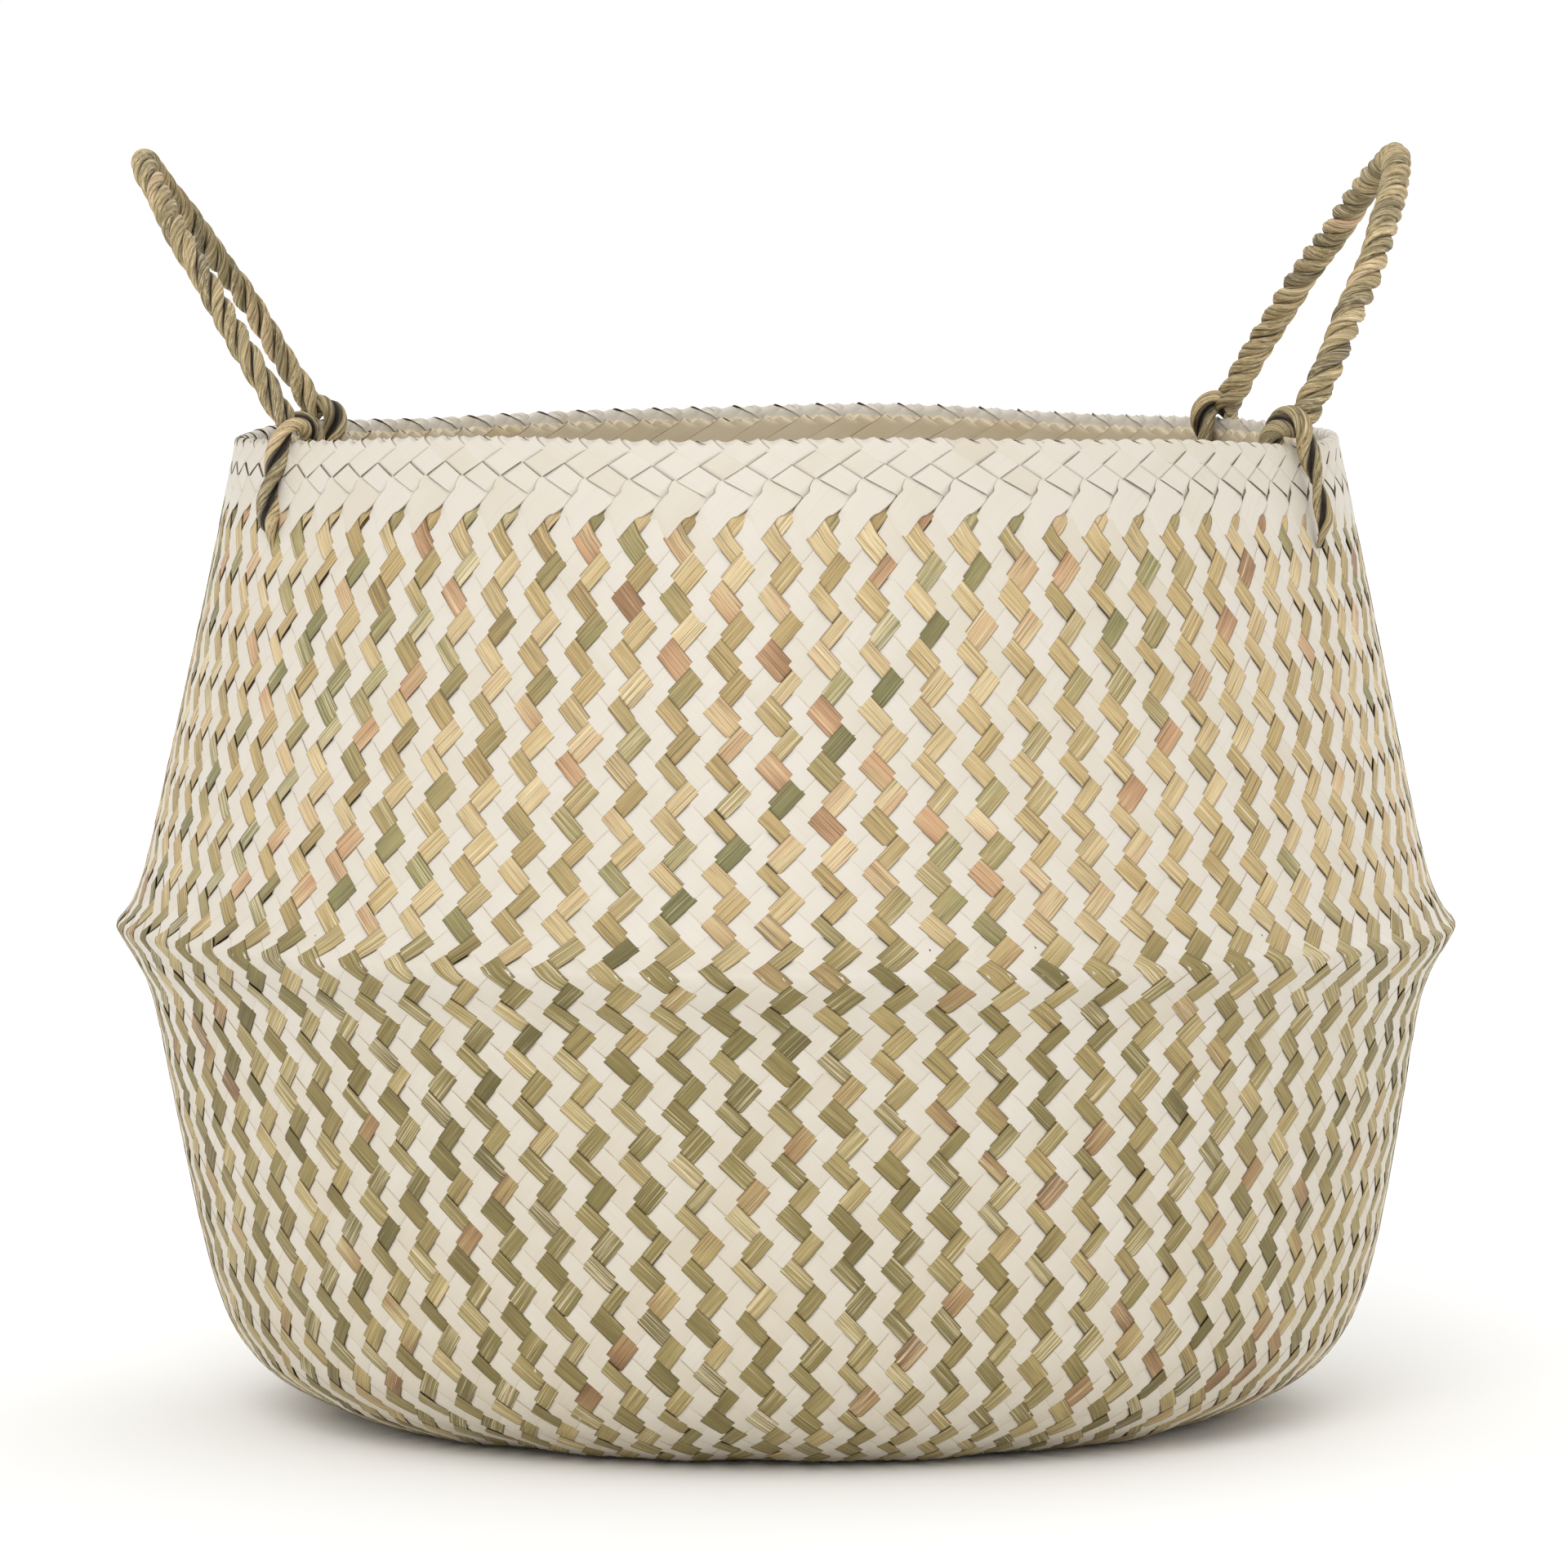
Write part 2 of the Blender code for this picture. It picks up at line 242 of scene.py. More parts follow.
def layStrips(name, skin, numbers, lean, place, changes, first, look, material):
    # strips on the plait's grid: a strip's middle moves half a gap aside for each row (lean is its way), its
    # edges stand off it along the other strips' direction, and its lift follows where it goes over and under
    rng = np.random.default_rng(look["seed"])
    count = len(numbers)
    drift = look["drift"] * slowNoise(rng, count, place, (0.13, 0.31, 0.83))
    tilt = 0.00010 * slowNoise(rng, count, place, (0.9, 1.7))
    uneven = slowNoise(rng, count, place, (0.07, 0.19)) + np.clip(rng.normal(0, 0.8, (count, 1)), -1.4, 1.4)
    widen = np.interp(place, *look.get("widen", ((0, 99), (1, 1))))
    width = look["width"] * (1 + look["uneven"] * uneven) * widen
    # how far one edge stands over its neighbour
    shingle = np.interp(place, *look.get("shingle", ((0, 99), (0, 0))))
    tone = 0.5 + 0.5 * slowNoise(rng, count, place, (0.11, 0.47, 1.03)) + rng.normal(0, 0.35, (count, 1))
    hue = 0.04 + 0.86 * rng.uniform(0, 1, (count, 1)) + 0.14 * slowNoise(rng, count, place, (0.09, 0.41))
    along = np.interp(place, skin["rows"], skin["along"])
    across = pi * np.interp(along, skin["along"], skin["radius"]) / plait["strands"]
    gap = np.interp(along, skin["along"], skin["gap"])
    reach = width * np.hypot(across, gap) / (2 * across * gap)   # half width, in shares of the grid
    state = overUnder(place, changes, first) * np.ones((count, 1))
    lift = state * look["lift"] + look["proud"]
    middle = 2 * (numbers[:, None] + drift) + lean * place
    corners = []
    for edge, top in stripSection:
        row = place - lean * edge * reach / 2
        x = middle + edge * reach / 2 + sway(row)
        theta = -pi / 2 + (x - plait["phase"]) * pi / plait["strands"]
        length = np.interp(row, skin["rows"], skin["along"])
        off = lift + edge * (tilt + shingle) + top * plait["thickness"] / 2
        corners.append(onSkin(skin, theta, length, off))
    points = np.stack(corners, 2).reshape(-1, 3)
    wide = np.broadcast_to(stripSection[:, 0], (count, len(place), len(stripSection)))
    run = np.broadcast_to((along[None, :, None] + 0.37 * numbers[:, None, None]), wide.shape)
    number = np.broadcast_to(numbers[:, None, None] * 0.173, wide.shape)
    bare = np.clip((place - plait["topRow"] - 0.1) * 4, 0, 1)     # in the band no painted gap shade is laid
    state = np.maximum(state, 2 * bare - 1)
    # showing is below zero where a face lies under another strip; the finishes paint the gap colour there as
    # painted shade
    showing = state[:, :, None] * stripSection[:, 1]
    height = np.interp(along, skin["along"], skin["height"])
    shade = [np.broadcast_to(tone[:, :, None], wide.shape), np.broadcast_to(hue[:, :, None], wide.shape)]
    tall = np.broadcast_to((height / rimZ)[None, :, None], wide.shape)
    attributes = {
        "stripPlace": np.stack([wide, run, number], -1).reshape(-1, 3),
        "stripShade": np.stack([*shade, showing], -1).reshape(-1, 3),
        "stripHeight": np.stack([tall] * 3, -1).reshape(-1, 3),
    }
    return buildMesh(name, points, stripQuads(count, len(place)), material, attributes)


# ---- shader maths

class Value:
    # a socket, or the socket of the node that an expression adds
    def __init__(self, finish, socket):
        self.finish = finish
        self.socket = socket

    def sum(self, operation, *others):
        return self.finish.node("ShaderNodeMath", {"operation": operation}, dict(enumerate([self, *others])))

    def __add__(self, other):
        return self.sum("ADD", other)

    def __radd__(self, other):
        return self.sum("ADD", other)

    def __sub__(self, other):
        return self.sum("SUBTRACT", other)

    def __rsub__(self, other):
        return self.finish.node("ShaderNodeMath", {"operation": "SUBTRACT"}, {0: other, 1: self})

    def __mul__(self, other):
        return self.sum("MULTIPLY", other)

    def __rmul__(self, other):
        return self.sum("MULTIPLY", other)

    def __pow__(self, other):
        return self.sum("POWER", other)

    def __abs__(self):
        return self.sum("ABSOLUTE")

    def step(self, low, high):
        # 0 below low, 1 above high, smooth between
        inputs = {"Value": self, "From Min": low, "From Max": high}
        return self.finish.node("ShaderNodeMapRange", {"interpolation_type": "SMOOTHSTEP"}, inputs)


class Finish:
    # one material, built node by node
    def __init__(self, name):
        self.material = bpy.data.materials.new(name)
        self.material.use_nodes = True
        self.tree = self.material.node_tree
        self.shader = self.tree.nodes["Principled BSDF"]

    def node(self, kind, settings, inputs, output=0):
        made = self.tree.nodes.new(kind)
        for label, value in settings.items():
            if label == "stops":
                ramp = made.color_ramp.elements
                while len(ramp) < len(value):
                    ramp.new(1)
                for element, (position, colour) in zip(ramp, value):
                    element.position = position
                    element.color = (*colour, 1)
            else:
                setattr(made, label, value)
        for label, value in inputs.items():
            self.feed(made.inputs[label], value)
        return Value(self, made.outputs[output])

    def feed(self, socket, value):
        if isinstance(value, Value):
            self.tree.links.new(value.socket, socket)
        elif isinstance(value, tuple) and len(value) == 3 and socket.type == "RGBA":
            socket.default_value = (*value, 1)
        else:
            socket.default_value = value

    def attribute(self, label):
        vector = self.node("ShaderNodeAttribute", {"attribute_name": label}, {}, "Vector")
        parts = self.node("ShaderNodeSeparateXYZ", {}, {0: vector})
        return [Value(self, s) for s in parts.socket.node.outputs]

    def vector(self, x, y, z):
        return self.node("ShaderNodeCombineXYZ", {}, {0: x, 1: y, 2: z})

    def noise(self, vector, scale, detail=2.0, rough=0.5):
        inputs = {"Vector": vector, "Scale": scale, "Detail": detail, "Roughness": rough}
        return self.node("ShaderNodeTexNoise", {}, inputs)

    def mix(self, factor, first, second, mode="MIX"):
        settings = {"data_type": "RGBA", "blend_type": mode, "clamp_factor": True}
        return self.node("ShaderNodeMix", settings, {0: factor, 6: first, 7: second}, 2)

    def ramp(self, factor, stops):
        return self.node("ShaderNodeValToRGB", {"stops": stops}, {0: factor})

    def bump(self, height, distance, strength):
        return self.node("ShaderNodeBump", {}, {"Height": height, "Distance": distance, "Strength": strength})

    def surface(self, **inputs):
        for label, value in inputs.items():
            self.feed(self.shader.inputs[label.replace("_", " ")], value)
        return self.material


def paint(red, green, blue):
    # a colour of 0 to 255 display values, in the linear values that shaders take
    share = np.array([red, green, blue]) / 255
    return tuple(float(c) for c in np.where(share > 0.04045, ((share + 0.055) / 1.055) ** 2.4, share / 12.92))


# ---- finishes of the palm strips

naturalLook = {
    "upper": [(0.0, paint(120, 116, 72)), (0.14, paint(147, 139, 91)), (0.34, paint(174, 151, 100)),
              (0.56, paint(189, 163, 111)), (0.76, paint(207, 184, 139)), (0.90, paint(193, 152, 113)),
              (1.0, paint(152, 114, 80))],
    # lower: the strips below the fold, more olive in their own tone, and darker partly as painted shade of the
    # lower wall, which leans under
    "lower": [(0.0, paint(101, 92, 48)), (0.16, paint(121, 110, 61)), (0.40, paint(140, 125, 73)),
              (0.66, paint(155, 138, 86)), (0.84, paint(176, 155, 102)), (0.94, paint(158, 124, 83)),
              (1.0, paint(124, 92, 58))],
    # gap: painted shade for the faces that lie under other strips
    "light": paint(236, 219, 180), "fibre": paint(74, 54, 26), "gap": paint(58, 42, 22),
}
# gap: painted shade for the faces that lie under other strips
whiteLook = {"cream": paint(210, 203, 190), "warm": paint(197, 185, 161), "edge": paint(140, 104, 58),
             "fibre": paint(184, 170, 144), "gap": paint(80, 57, 30), "edgeLeast": 0.15}
# the band's edges are darker and stronger than the wall's: the tan of the cut edges with painted shadow lines
# along them
bandLook = dict(whiteLook, edge=paint(104, 76, 40), edgeLeast=0.35)
# gap: painted shade for the faces that lie under other strips
liningLook = {"cream": paint(218, 204, 176), "warm": paint(200, 177, 135), "edge": paint(112, 80, 44),
              "fibre": paint(180, 157, 119), "gap": paint(50, 34, 18), "edgeLeast": 0.35}


def naturalPalm():
    # undyed strips: each its own olive, khaki, straw or rosy tone, with fibres along it, more olive and darker
    # below the fold (the darkness partly painted shade of the lower wall), painted shadow lines at the edges
    # and painted gap shade under other strips
    finish = Finish("natural palm")
    wide, run, number = finish.attribute("stripPlace")
    tone, hue, showing = finish.attribute("stripShade")
    height = finish.attribute("stripHeight")[0]
    look = naturalLook
    slow = finish.noise(finish.vector(wide * 0.25, run * 24, number * 9), 1.0, 2)
    pick = hue + (slow - 0.5) * 0.45
    # below the fold: own olive tone and painted shade of the wall that leans under
    below = 1 - height.step(0.50, 0.56)
    colour = finish.mix(below, finish.ramp(pick, look["upper"]), finish.ramp(pick, look["lower"]))
    fine = finish.noise(finish.vector(wide * 6, run * 34, number * 31), 1.0, 4, 0.7)
    hair = finish.noise(finish.vector(wide * 15, run * 45, number * 57), 1.0, 2, 0.6)
    light = (tone - 0.45) * 0.34 + (fine - 0.5) * 2.3
    colour = finish.mix(light.step(0.02, 0.60) * 0.75, colour, look["light"])
    colour = finish.mix((0 - light).step(0.05, 0.75) * 0.75, colour, look["fibre"])
    colour = finish.mix(hair.step(0.54, 0.62) * 0.6, colour, look["fibre"])
    # painted shadow: dark lines along the strip edges, where each edge lies over its neighbour
    edge = abs(wide).step(0.84, 1.0)
    colour = finish.mix(edge * 0.6, colour, look["fibre"])
    # painted shade: the gap colour where this face lies under another strip
    colour = finish.mix(1 - showing.step(-0.65, 0.10), colour, look["gap"])
    relief = fine - hair * 0.5
    rough = fine * 0.25 + 0.50
    return finish.surface(Base_Color=colour, Roughness=rough, Normal=finish.bump(relief, 0.00022, 0.8))


def whitePalm(name, look):
    # bleached strips: smooth, with faint fibres and thin tan edges (darker in the band, with painted shadow
    # lines), painted shade lower down the wall and painted gap shade under other strips
    finish = Finish(name)
    wide, run, number = finish.attribute("stripPlace")
    tone, _, showing = finish.attribute("stripShade")
    height = finish.attribute("stripHeight")[0]
    cloud = finish.noise(finish.vector(wide * 0.5, run * 45, number * 17), 1.0, 2)
    # painted shade: warmer and darker lower down, where the wall leans under
    low = 1 - height.step(0.1, 0.6)
    colour = finish.mix((cloud - 0.35) * 0.6 + (tone - 0.5) * 0.35 + low * 0.30, look["cream"], look["warm"])
    hair = finish.noise(finish.vector(wide * 14, run * 22, number * 41), 1.0, 2, 0.6)
    colour = finish.mix(hair.step(0.56, 0.75) * 0.30, colour, look["fibre"])
    # edge lines: the tan of the cut edges, made darker in the band as painted shadow lines
    edgeWearAndShade = finish.noise(finish.vector(wide * 1.0, run * 120, number * 23), 1.0, 2)
    edge = abs(wide).step(0.93, 1.0) * (edgeWearAndShade.step(0.35, 0.7) * 0.55 + look["edgeLeast"])
    colour = finish.mix(edge, colour, look["edge"])
    # painted shade: the gap colour where this face lies under another strip
    colour = finish.mix(1 - showing.step(-0.75, 0.0), colour, look["gap"])
    crown = abs(wide) ** 2
    relief = hair * 0.25 - crown
    rough = hair * 0.2 + 0.40
    return finish.surface(Base_Color=colour, Roughness=rough, Normal=finish.bump(relief, 0.00025, 0.4))


naturalFinish = naturalPalm()
whiteFinish = whitePalm("bleached palm", whiteLook)
bandFinish = whitePalm("band palm", bandLook)
liningFinish = whitePalm("lining palm", liningLook)

# ---- the wall: four sets of strands, rising to the right or to the left, natural or white

wallSkinDepth = 0.0014
wallTopZ = 0.3125
wallLook = {"natural": {"width": 0.0060, "uneven": 0.17, "drift": 0.04, "lift": 0.00042, "proud": 0.00010},
            "white": {"width": 0.0076, "uneven": 0.03, "drift": 0.03, "lift": 0.00042, "proud": -0.00004}}
# rows past the band's first row that strands end at, and where the last natural ones dip under
wallEnds = {"white": 2.4, "naturalLeft": 1.7, "naturalRight": 2.0, "tuck": 1.27}

upTheWall = wallLine(0, wallTopZ, wallSkinDepth)
inward = np.linspace(upTheWall[0, 0] - form["bottomReach"], upTheWall[0, 0], 30)[:-1]
underneath = np.stack([inward, np.full(len(inward), upTheWall[0, 1])], 1)
wallSkin = addRows(makeSkin(np.concatenate([underneath, upTheWall])))
lowestRow = wallSkin["rows"][0] + 1.3
waistRow = np.interp(waistZ, wallSkin["height"], wallSkin["rows"])
print("rows of plait:", round(float(wallSkin["rows"][-1] - wallSkin["rows"][0]), 1))


def wallPlaces(end):
    # before, at, after and midway between the changes of side, and eight places a row round the fold line
    change = np.arange(-40.5, end, 2)[:, None] + np.array([-plait["slope"], 0, plait["slope"], 1])
    place = change.ravel()
    place = place[(place > lowestRow) & (place < end) & (np.abs(place - waistRow) > 1.8)]
    near = np.arange(waistRow - 1.75, waistRow + 1.75, 1 / 8)
    return np.sort(np.concatenate([place, near, [end]]))


def wallStrands(name, lean, white, seed):
    # rows 0 and 1 of every four show the strands that lean left, rows 2 and 3 those that lean right
    topRow = plait["topRow"]
    odd = white == (lean < 0)
    numbers = np.arange(plait["strands"] // 2) * 2 + (1 if odd else 0)
    changes = np.arange(-40.5, topRow + 0.6, 2)   # every second row, from below the bottom
    end = topRow + wallEnds["white"]
    if not white:
        end = topRow + (wallEnds["naturalLeft"] if lean < 0 else wallEnds["naturalRight"])
        if lean > 0:
            changes = np.append(changes, topRow + wallEnds["tuck"])
    look = dict(wallLook["white" if white else "natural"], seed=seed)
    material = whiteFinish if white else naturalFinish
    first = -1 if lean < 0 else 1
    piece = layStrips(name, wallSkin, numbers, lean, wallPlaces(end), changes, first, look, material)
    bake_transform(piece)
    return piece


naturalLeft = wallStrands("wall_natural_left_leaning", -1, False, 11)
wallStrands("wall_white_left_leaning", -1, True, 12)
wallStrands("wall_natural_right_leaning", 1, False, 13)
wallStrands("wall_white_right_leaning", 1, True, 14)
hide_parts("base_turnup", "lower_wall", "upper_wall")
print("wall plaited")

# ---- the rim: the white strands alone, turned over the edge, and a lining of the same strips inside it

rimBand = {"depth": 0.00125, "edgeZ": 0.3257, "turn": 0.0012, "outsideZ": 0.288, "insideZ": 0.3165,
           "width": 0.0075, "uneven": 0.03, "drift": 0.05, "lift": 0.00040, "proud": 0.00012}
bandChanges = (73.5, 76, 78, 80, 86, 88, 90)          # rows where the band's strips change sides
bandStart = {"left": 74.6, "right": 72.5, "tucked": 80.6}
# rows, and how much wider the strips are there or how far one edge stands proud
leftWiden = ((0, 79, 80.5, 86, 87), (1, 1, 1.22, 1.22, 1))
leftShingle = ((0, 79.5, 81, 86, 87), (0, 0, 0.00022, 0.00022, 0))
rightWiden = ((0, 72.6, 73.6, 76, 77.2), (1, 1.0, 1.42, 1.36, 1))
lining = {"depth": 0.0040, "edgeZ": 0.3232, "turn": 0.0007, "outsideZ": 0.3165, "insideZ": 0.3015,
          "width": 0.0072, "uneven": 0.05, "drift": 0.06, "lift": 0.00034, "proud": 0.0}
liningChanges = (75.0, 77, 79, 81, 86, 88, 90, 92, 94)
liningWiden = ((0, 80, 81.5, 86, 87), (1, 1, 1.2, 1.2, 1))
liningShingle = ((0, 80, 81.5, 86, 87), (0, 0, 0.0002, 0.0002, 0))
tuckedEnds = {"width": 0.0046, "uneven": 0.20, "drift": 0.12, "lift": 0.0, "proud": -0.00022}


def foldedSkin(look):
    # up the outside to the edge, over it in half a circle, and down the inside
    outside = wallLine(look["outsideZ"], look["edgeZ"], look["depth"])
    over = turnOver(outside[-1], look["turn"])
    inside = wallLine(look["insideZ"], look["edgeZ"], look["depth"] + 2 * look["turn"])[::-1]
    return addRows(makeSkin(np.concatenate([outside, over, inside])))


def rimStrips(name, skin, lean, start, end, changes, first, look, seed, material, odd=None):
    # one of the band's two sets of strips, eight places a row so that the turned edge is round
    if odd is None:
        odd = lean < 0
    numbers = np.arange(plait["strands"] // 2) * 2 + (1 if odd else 0)
    place = np.arange(start, end, 1 / 8)
    piece = layStrips(name, skin, numbers, lean, place, changes, first, dict(look, seed=seed), material)
    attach(piece, "rim")
    return piece


def makeRim():
    # the band's two sets of strips and the natural ends tucked under them, then the lining's two sets
    skin = foldedSkin(rimBand)
    last = skin["rows"][-1] - 1.2
    changes = np.array(bandChanges)
    leftLook = dict(rimBand, widen=leftWiden, shingle=leftShingle)
    rightLook = dict(rimBand, widen=rightWiden)
    left = rimStrips("rim_band_left_leaning", skin, -1, bandStart["left"], last, changes, 1,
                     leftLook, 21, bandFinish)
    rimStrips("rim_band_right_leaning", skin, 1, bandStart["right"], last, changes, -1,
              rightLook, 22, bandFinish)
    rimStrips("rim_tucked_ends", skin, 1, bandStart["tucked"], last - 1, np.array([0]), -1,
              tuckedEnds, 23, naturalFinish, odd=True)
    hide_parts("rim_band")
    inner = foldedSkin(lining)
    lowest, end = inner["rows"][0] + 1.0, inner["rows"][-1] - 1.2
    changes = np.array(liningChanges)
    first = rimStrips("rim_lining_left_leaning", inner, -1, lowest, end, changes, -1,
                      lining, 24, liningFinish)
    rightLook = dict(lining, widen=liningWiden, shingle=liningShingle)
    rimStrips("rim_lining_right_leaning", inner, 1, lowest, end, changes, 1,
              rightLook, 25, liningFinish)
    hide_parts("rim_lining")


makeRim()
print("rim turned over")

# ---- the bottom: a flat mat of straight strips

baseMat = {"radius": 0.1385, "z": 0.0036, "gap": 0.0060, "width": 0.0059,
           "lift": 0.00042, "thickness": 0.00030}


def matStrips(name, lean, seed):
    # strips side by side at 45 degrees, each as long as its chord of the round, over two and under two
    rng = np.random.default_rng(seed)
    half = int(baseMat["radius"] / baseMat["gap"])
    number = np.arange(-half, half + 1)
    aside = number * baseMat["gap"]
    chord = np.sqrt(baseMat["radius"] ** 2 - aside ** 2)
    share = np.linspace(-1, 1, 161)
    run = share[None, :] * chord[:, None]
    crossing = run / baseMat["gap"]
    phase = (crossing - lean * number[:, None] + (0.5 if lean < 0 else 2.5)) / 4
    state = np.clip(3.2 * np.sin(2 * pi * phase), -1, 1)
    way = np.array([cos(pi / 4), lean * sin(pi / 4)])
    side = np.array([-way[1], way[0]])
    tone = 0.5 + 0.35 * slowNoise(rng, len(number), crossing, (0.2, 0.5))
    tone = tone + rng.normal(0, 0.3, (len(number), 1))
    hue = rng.uniform(0.1, 0.8, (len(number), 1)) + 0 * run
    corners = []
    for edge, top in stripSection:
        off = aside[:, None] - edge * baseMat["width"] / 2   # the left side comes second, so faces look up
        z = baseMat["z"] + state * baseMat["lift"] + top * baseMat["thickness"] / 2
        flat = run[:, :, None] * way + off[:, :, None] * side
        corners.append(np.concatenate([flat, z[:, :, None]], -1))
    points = np.stack(corners, 2).reshape(-1, 3)
    shape = (len(number), len(share), len(stripSection))
    wide = np.broadcast_to(stripSection[:, 0], shape)
    # showing marks where the finish paints gap shade under the crossing strips
    showing = state[:, :, None] * stripSection[:, 1]
    attributes = {
        "stripPlace": np.stack([wide, np.broadcast_to(run[:, :, None], shape),
                                np.broadcast_to(number[:, None, None] * 0.173, shape)], -1).reshape(-1, 3),
        "stripShade": np.stack([np.broadcast_to(tone[:, :, None], shape),
                                np.broadcast_to(hue[:, :, None], shape), showing], -1).reshape(-1, 3),
        "stripHeight": np.zeros((points.shape[0], 3)),
    }
    piece = buildMesh(name, points, stripQuads(len(number), len(share)), naturalFinish, attributes)
    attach(piece, "body")
    return piece


baseAcross = matStrips("base_strips_across", -1, 31)
matStrips("base_strips_along", 1, 32)
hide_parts("base")
print("bottom plaited")

# ---- rope: plies of twisted grass blades

ropeLook = {
    "stops": [(0.0, paint(104, 92, 68)), (0.22, paint(134, 120, 86)), (0.42, paint(158, 142, 100)),
              (0.62, paint(184, 162, 116)), (0.80, paint(208, 184, 138)), (1.0, paint(212, 176, 140))],
    "light": paint(240, 224, 186), "dark": paint(76, 60, 36), "creviceShade": paint(34, 24, 12),
}


def grassRope():
    # dry grass: streaks along each ply's blades, painted shade in the creases between blades and painted shade
    # between the plies
    finish = Finish("grass rope")
    aroundX, aroundY, run = finish.attribute("ropePlace")
    tone, out, crease = finish.attribute("ropeShade")
    look = ropeLook
    blade = finish.noise(finish.vector(aroundX * 1.3, aroundY * 1.3, run * 22 + tone * 9), 1.0, 2)
    colour = finish.ramp(tone + (blade - 0.5) * 1.0, look["stops"])
    fine = finish.noise(finish.vector(aroundX * 6, aroundY * 6, run * 40 + tone * 31), 1.0, 3, 0.65)
    hair = finish.noise(finish.vector(aroundX * 15, aroundY * 15, run * 60 + tone * 57), 1.0, 2, 0.6)
    colour = finish.mix(fine.step(0.50, 0.66) * 0.70, colour, look["light"])
    colour = finish.mix((1 - fine).step(0.52, 0.68) * 0.75, colour, look["dark"])
    colour = finish.mix(hair.step(0.55, 0.66) * 0.6, colour, look["dark"])
    # painted shade: darker in the grooves between the blades, where the ply's radius dips
    colour = finish.mix(crease * 0.85, colour, look["dark"])
    # painted shade: near-black where the surface lies close to the rope's axis, between the plies
    colour = finish.mix(1 - out.step(0.52, 0.84), colour, look["creviceShade"])
    relief = fine + hair * 0.4
    rough = fine * 0.2 + 0.55
    return finish.surface(Base_Color=colour, Roughness=rough, Normal=finish.bump(relief, 0.0004, 0.8))


ropeFinish = grassRope()


def unit(vectors):
    return vectors / np.linalg.norm(vectors, axis=-1, keepdims=True)


def smoothWave(rng, along, waves):
    # a sum of slow sines along a length, about -1 to 1
    return slowNoise(rng, 1, along, waves)[0]


def twistPly(name, axis, normal, turn, offset, size, look, body):
    # a ply whose middle is axis + offset (normal cos turn + side sin turn); its section has blade edges:
    # r = size lumps (1 - edge (1 - |sin(blades / 2 (angle - twist) + wobble)|)^4)
    rng = np.random.default_rng(look["seed"])
    along = np.concatenate([[0], np.cumsum(np.linalg.norm(np.diff(axis, axis=0), axis=1))])
    way = unit(np.gradient(axis, axis=0))
    normal = unit(normal - (normal * way).sum(1, keepdims=True) * way)
    side = np.cross(way, normal)
    out = normal * np.cos(turn)[:, None] + side * np.sin(turn)[:, None]
    middle = axis + out * offset[:, None]
    plyWay = unit(np.gradient(middle, axis=0))
    first = unit(out - (out * plyWay).sum(1, keepdims=True) * plyWay)
    second = np.cross(plyWay, first)
    angle = np.linspace(0, 2 * pi, look["around"], endpoint=False)[None, :]
    twist = (look["twist"] * along + 0.8 * smoothWave(rng, along, (90, 210)))[:, None]
    blades = angle - twist
    wobble = 0.5 * np.sin(2 * blades + along[:, None] * 60)
    crease = (1 - np.abs(np.sin(look["blades"] / 2 * blades + wobble))) ** 4
    lumps = 1 + 0.07 * smoothWave(rng, along, (130, 290, 470))[:, None]
    lumps = lumps + 0.05 * np.sin(2 * blades + along[:, None] * 150)
    radius = size[:, None] * lumps * (1 - look["edge"] * crease)
    ring = np.cos(angle)[..., None] * first[:, None] + np.sin(angle)[..., None] * second[:, None]
    points = middle[:, None] + radius[..., None] * ring
    # reach: how far a point stands from the rope's axis, which sets the painted shade between the plies
    reach = np.linalg.norm(points - axis[:, None], axis=-1) / np.maximum(offset + size, 1e-5)[:, None]
    tone = look["tone"] + look["toneWander"] * smoothWave(rng, along, (40, 95))[:, None] + 0 * angle
    run = along[:, None] + 0 * angle + look["seed"] * 0.7
    attributes = {"ropePlace": np.stack([np.cos(blades), np.sin(blades), run], -1).reshape(-1, 3),
                  "ropeShade": np.stack([tone, reach, crease], -1).reshape(-1, 3)}
    quads = tubeQuads(len(axis), look["around"])
    piece = buildMesh(name, points.reshape(-1, 3), quads, ropeFinish, attributes)
    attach(piece, body)
    return piece


def tubeQuads(length, around):
    # faces of a closed tube: its rings, and each end filled by a ladder of quads across
    i = np.arange(length - 1)[:, None] * around
    j = np.arange(around)[None, :]
    k = (j + 1) % around
    body = np.stack([i + j, i + k, i + around + k, i + around + j], -1).reshape(-1, 4)
    low = np.arange(around // 2 - 1)
    cap = np.stack([low, low + 1, around - 2 - low, around - 1 - low], -1)
    return np.concatenate([body, cap[:, ::-1], cap + (length - 1) * around])


# ---- the two handles

handles = {
    "left": {"swing": "left_handle_swing", "size": 0.00215, "offset": 0.00225, "up": (-0.5225, 0, 0.8526),
             "along": (0, 1, 0), "half": 0.0851, "height": 0.1067, "point": 0.40, "pitch": 0.031,
             "phase": 0.6, "tones": (0.42, 0.50, 0.62), "seed": 41},
    "right": {"swing": "right_handle_swing", "size": 0.0025, "offset": 0.0026, "up": (0.4631, 0.0405, 0.8854),
              "along": (-0.087156, 0.996195, 0), "half": 0.0906, "height": 0.1033, "point": 0.50,
              "pitch": 0.0235, "phase": 1.7, "tones": (0.38, 0.50, 0.60), "seed": 51},
}
handleRope = {"trim": 0.0042, "taper": 0.006, "wander": 0.0007, "around": 36,
              "blades": 5, "edge": 0.26, "twist": 110, "toneWander": 0.30, "step": 0.0008}


